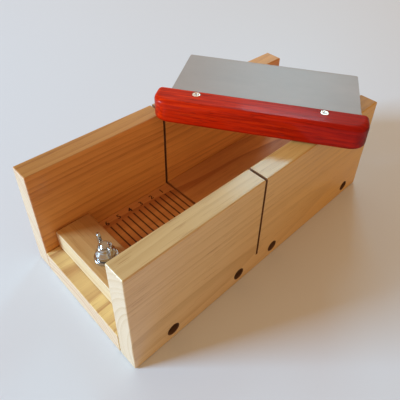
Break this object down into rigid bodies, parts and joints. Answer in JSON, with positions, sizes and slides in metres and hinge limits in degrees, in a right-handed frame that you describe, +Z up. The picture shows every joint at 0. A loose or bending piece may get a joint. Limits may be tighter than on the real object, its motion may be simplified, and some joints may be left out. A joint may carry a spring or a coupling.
{
  "type": "soap loaf cutting box",
  "caption": "Open-ended wooden trough for cutting soap loaves, with a blade kerf, a sliding stop clamped by a wing nut, and a straight slicer with a red wooden handle.",
  "frame": {"origin": "middle of the trough's underside, on the base board", "axes": "+X along the trough from the stop end to the far end, +Y towards the left wall, +Z up"},
  "size_m": [0.2447, 0.1621, 0.1023],
  "materials": {
    "pine_wall": "planed and lightly oiled pine",
    "pine_base": "planed pine with a burnt scale",
    "pine_stop": "planed pine",
    "red_wood": "glossy red stain and varnish",
    "blade_steel": "satin stainless steel",
    "zinc": "bright zinc plate",
    "screw_steel": "plain steel",
    "rivet_brass": "pale polished brass"
  },
  "bodies": {
    "box": {"base_board": "pine_base", "left_wall": "pine_wall", "right_wall": "pine_wall", "left_screw_1": "screw_steel", "left_screw_2": "screw_steel", "left_screw_3": "screw_steel", "left_screw_4": "screw_steel", "right_screw_1": "screw_steel", "right_screw_2": "screw_steel", "right_screw_3": "screw_steel", "right_screw_4": "screw_steel"},
    "stop": {"stop_block": "pine_stop", "stop_washer": "zinc"},
    "clamp_bolt": {"stop_bolt": "zinc"},
    "clamp_nut": {"wing_nut": "zinc"},
    "slicer": {"slicer_handle": "red_wood", "slicer_blade": "blade_steel", "rivet_sleeve_1": "rivet_brass", "rivet_sleeve_2": "rivet_brass", "rivet_pin_1": "blade_steel", "rivet_pin_2": "blade_steel"}
  },
  "joints": [
    {"name": "stop_slide", "type": "slide", "parent": "box", "child": "stop", "axis": [1, 0, 0], "range_m": [-0.003, 0.06]},
    {"name": "wing_nut_turn", "type": "hinge", "parent": "stop", "child": "clamp_nut", "pos_m": [-0.097, 0, 0.034], "axis": [0, 0, 1], "range_deg": [0, 360]},
    {"name": "bolt_drop", "type": "slide", "parent": "stop", "child": "clamp_bolt", "axis": [0, 0, -1], "range_m": [0, 0.001]},
    {"name": "slicer_lift", "type": "slide", "parent": "box", "child": "slicer", "axis": [0, 0, 1], "range_m": [0, 0.12]}
  ],
  "couplings": [
    {"joint": "wing_nut_turn", "follows": "bolt_drop", "rad_per_m": 6283.2}
  ]
}
